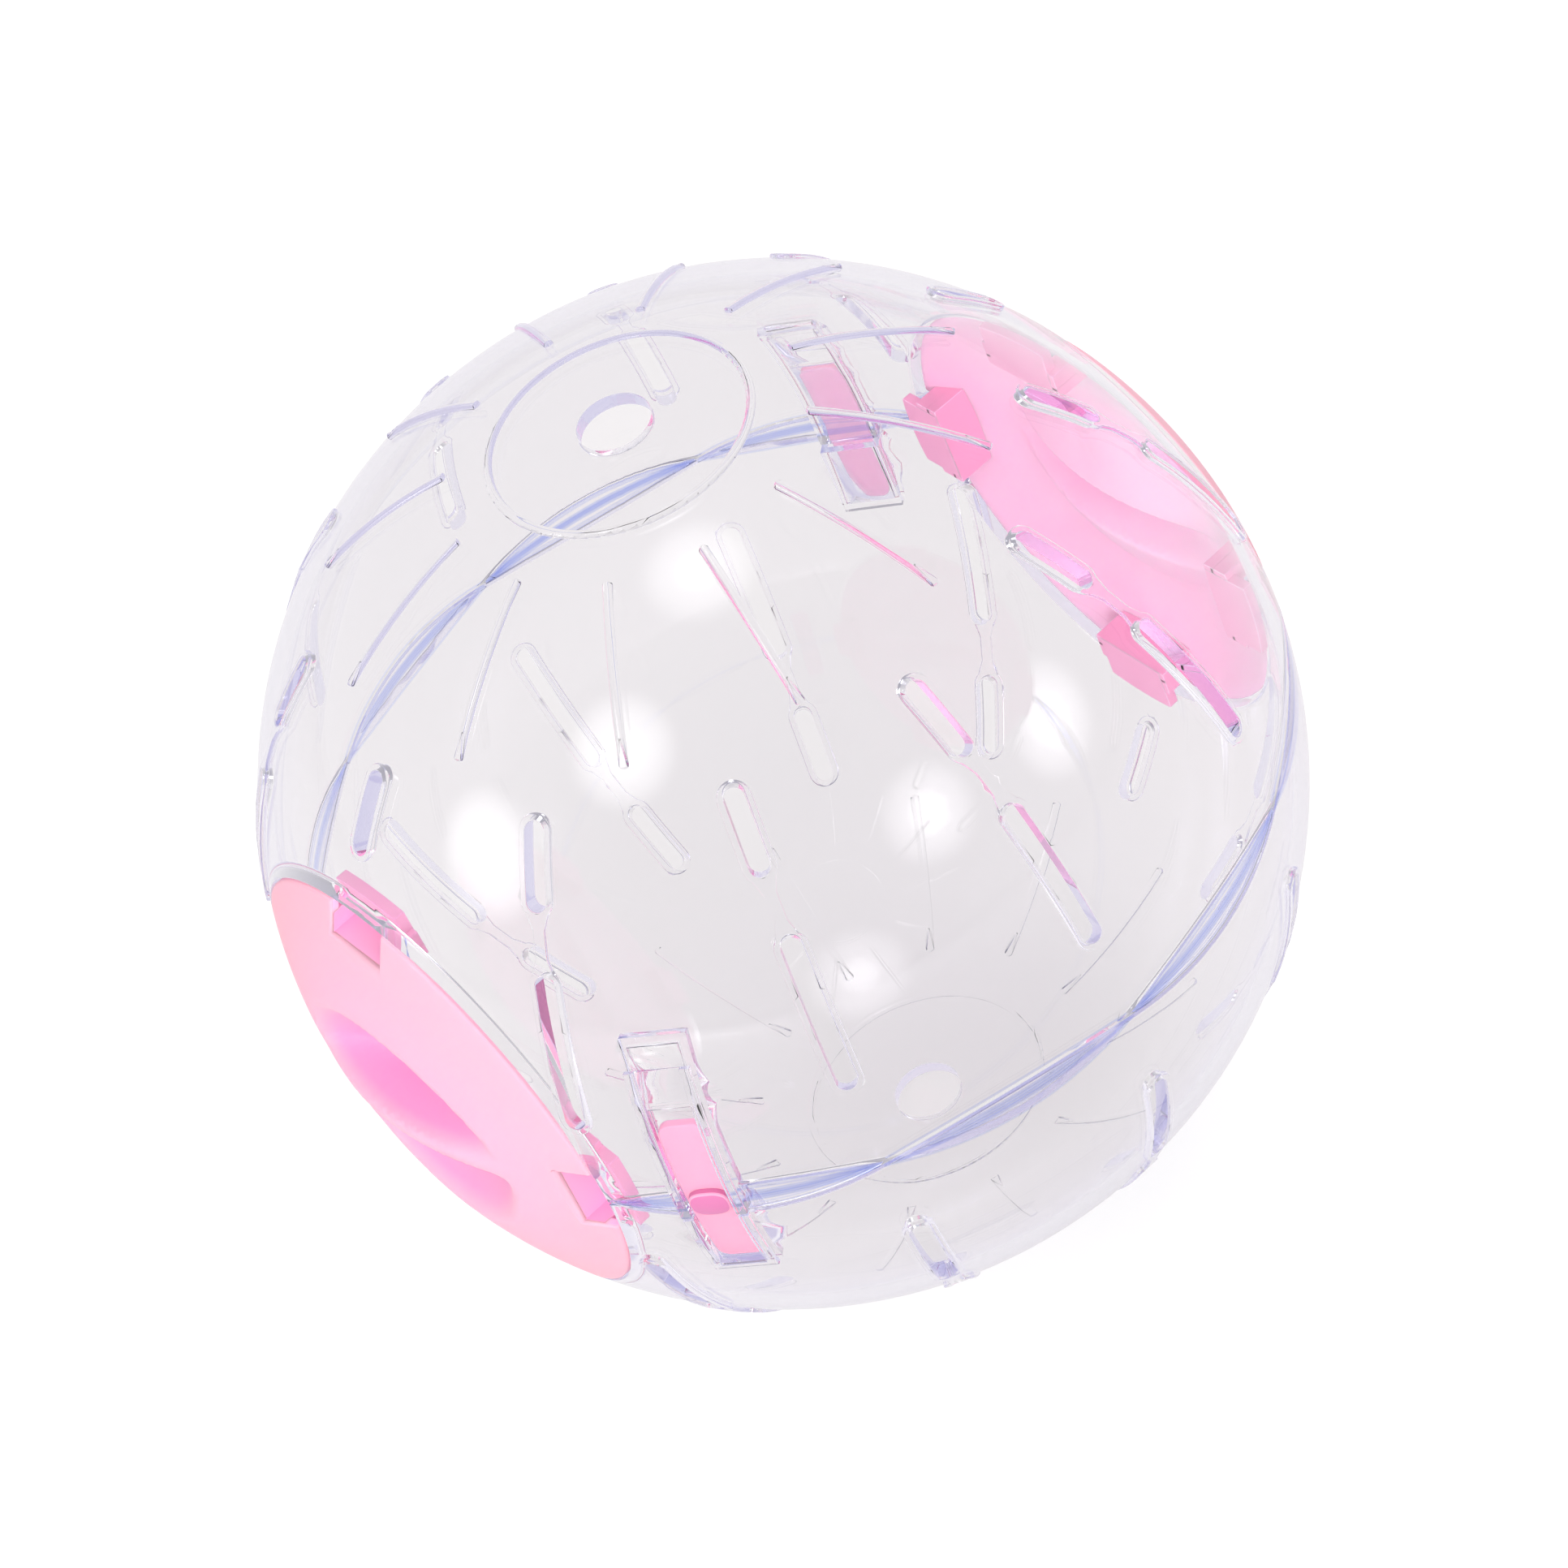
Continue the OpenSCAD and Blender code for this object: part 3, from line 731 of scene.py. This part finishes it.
def door_outline():
    """A circle with four notches."""
    outline = []
    half = math.asin(NOTCH_HALF / DOOR_R)
    for quarter in range(4):
        at = quarter * math.pi / 2
        outline += turned([(NOTCH_IN, -NOTCH_HALF), (NOTCH_IN, NOTCH_HALF)], at)
        outline += arc(DOOR_R, at + half, at + math.pi / 2 - half, DOOR_STEP)
    return outline


def pocket_outlines():
    """The walls behind a notch and on its two sides."""
    near = NOTCH_HALF - SLAB_PROUD
    high = NOTCH_HALF + DOOR_WALL
    end = NOTCH_IN + SLAB_PROUD
    back = NOTCH_IN - SLAB_OVERLAP
    near_end = math.sqrt(INSIDE_LUGS_R**2 - near**2)
    high_end = near_end - SLAB_TAPER
    return (
        [(BACK_WALL_FROM, -high), (BACK_WALL_FROM, high), (end, high), (end, -high)],
        [(back, near), (back, high - SLAB_PROUD), (high_end, high), (near_end, near)],
        [(back, SLAB_PROUD - high), (back, -near), (near_end, -near), (high_end, -high)],
    )


def tab_outline():
    """The tab that turns behind a lug."""
    reach = math.asin(TAB_HALF / TAB_R)
    start = BACK_WALL_FROM + SLAB_PROUD
    return [(start, TAB_HALF), (start, -TAB_HALF)] + arc(TAB_R, -reach, reach, DOOR_STEP)


def door_mesh(name, side):
    """The door: dome with recesses and notches, the notch pockets behind it, and their tabs."""
    def place(u, v, w):
        return (side * w, side * v, -u)

    dome = bmesh.new()
    thick_sheet(
        dome,
        door_outline(),
        DOOR_STEP,
        lambda u, v: place(u, v, door_top(u, v)),
        lambda u, v: place(u, v, door_bottom(u, v)),
    )
    bmesh.ops.recalc_face_normals(dome, faces=dome.faces)
    bevel_sharp(dome, DOOR_BEVEL, segments=3, least_angle=SHARP)

    pockets = bmesh.new()
    for quarter in range(4):
        at = quarter * math.pi / 2
        for outline in pocket_outlines():
            thick_sheet(
                pockets,
                turned(outline, at),
                SLAB_STEP,
                lambda u, v: place(u, v, ball_top(u, v) - SLAB_SUNK),
                lambda u, v: place(u, v, TAB_LOW + 2 * SLAB_PROUD),
                material=1,
            )
        thick_sheet(
            pockets,
            turned(tab_outline(), at),
            TAB_STEP,
            lambda u, v: place(u, v, NOTCH_FLOOR),
            lambda u, v: place(u, v, TAB_LOW),
            material=1,
        )
    bmesh.ops.recalc_face_normals(pockets, faces=pockets.faces)
    bevel_sharp(pockets, SLAB_BEVEL, segments=2, least_angle=SHARP)
    pockets_mesh = bpy.data.meshes.new(name + "_pockets")
    pockets.to_mesh(pockets_mesh)
    pockets.free()
    dome.from_mesh(pockets_mesh)
    bpy.data.meshes.remove(pockets_mesh)
    return finished_mesh(dome, name)


def button_crown(w, h):
    """The radius of the button's face, which falls a little toward its rim."""
    out = (2 * w / BUTTON_W) ** 2 + (2 * h / BUTTON_L) ** 2
    return BUTTON_TOP_R - BUTTON_CROWN * min(1.0, out)


def latch_mesh(name, lon):
    """Curved strip with round corners, and an oval thumb button whose deeper pink is painted shade.
    """
    def place(w, h, radius):
        out = math.sqrt(radius * radius - h * h)
        return (
            out * math.cos(lon) - w * math.sin(lon),
            out * math.sin(lon) + w * math.cos(lon),
            h,
        )

    bm = bmesh.new()
    strip = rounded(STRIP_W / 2, STRIP_L / 2, STRIP_CORNER, STRIP_CORNER_STEPS)
    thick_sheet(
        bm,
        divided(strip, STRIP_EDGE_STEP),
        STRIP_STEP,
        lambda w, h: place(w, h, STRIP_TOP_R),
        lambda w, h: place(w, h, STRIP_LOW_R),
    )
    thick_sheet(
        bm,
        rounded_oval(BUTTON_W / 2, BUTTON_L / 2, BUTTON_POWER, BUTTON_POINTS),
        BUTTON_STEP,
        lambda w, h: place(w, h, button_crown(w, h)),
        lambda w, h: place(w, h, (STRIP_TOP_R + STRIP_LOW_R) / 2),
        material=1,
    )
    bmesh.ops.recalc_face_normals(bm, faces=bm.faces)
    bevel_sharp(bm, LATCH_BEVEL, segments=3, least_angle=SHARP)
    return finished_mesh(bm, name)


def dress(node, mesh, body, slot, *materials):
    """Puts a mesh in the place of a CAD piece."""
    for material in materials:
        mesh.materials.append(material)
    obj = bpy.data.objects.new(mesh.name, mesh)
    bpy.context.scene.collection.objects.link(obj)
    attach(obj, body)
    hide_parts(node)


make_camera()
make_world()
make_floor()
for lamp in LAMPS:
    make_lamp(*lamp)

shell = clear_plastic()
door_pink = pink_plastic("door_pink_plastic", door_shade, gloss=0.34, see_in=0.5)
pocket_pink = pink_plastic("pocket_pink_plastic", pocket_shade, gloss=0.34, see_in=0.0)
strip_pink = pink_plastic("latch_pink_plastic", strip_shade, gloss=0.30, see_in=0.35)
button_pink = pink_plastic("button_pink_plastic", button_shade, gloss=0.30, see_in=0.30)

for node, body, soft_share in (
    ("upper_shell", "upper", UPPER_SOFT_SHARE),
    ("lower_shell", "lower", LOWER_SOFT_SHARE),
):
    mesh = shell_mesh(node + "_soft", node, soft_share)
    dress(node, mesh, body, "clear_shell", shell)
for node, body, side in (("door_left", "left_door", 1), ("door_right", "right_door", -1)):
    mesh = door_mesh(node + "_dome", side)
    dress(node, mesh, body, "door_pink", door_pink, pocket_pink)
for node, body, lon in (
    ("latch_front", "front_latch", LATCH_LON),
    ("latch_back", "back_latch", LATCH_LON + math.pi),
):
    mesh = latch_mesh(node + "_strip", lon)
    dress(node, mesh, body, "latch_pink", strip_pink, button_pink)

bpy.context.scene.view_settings.view_transform = "Standard"
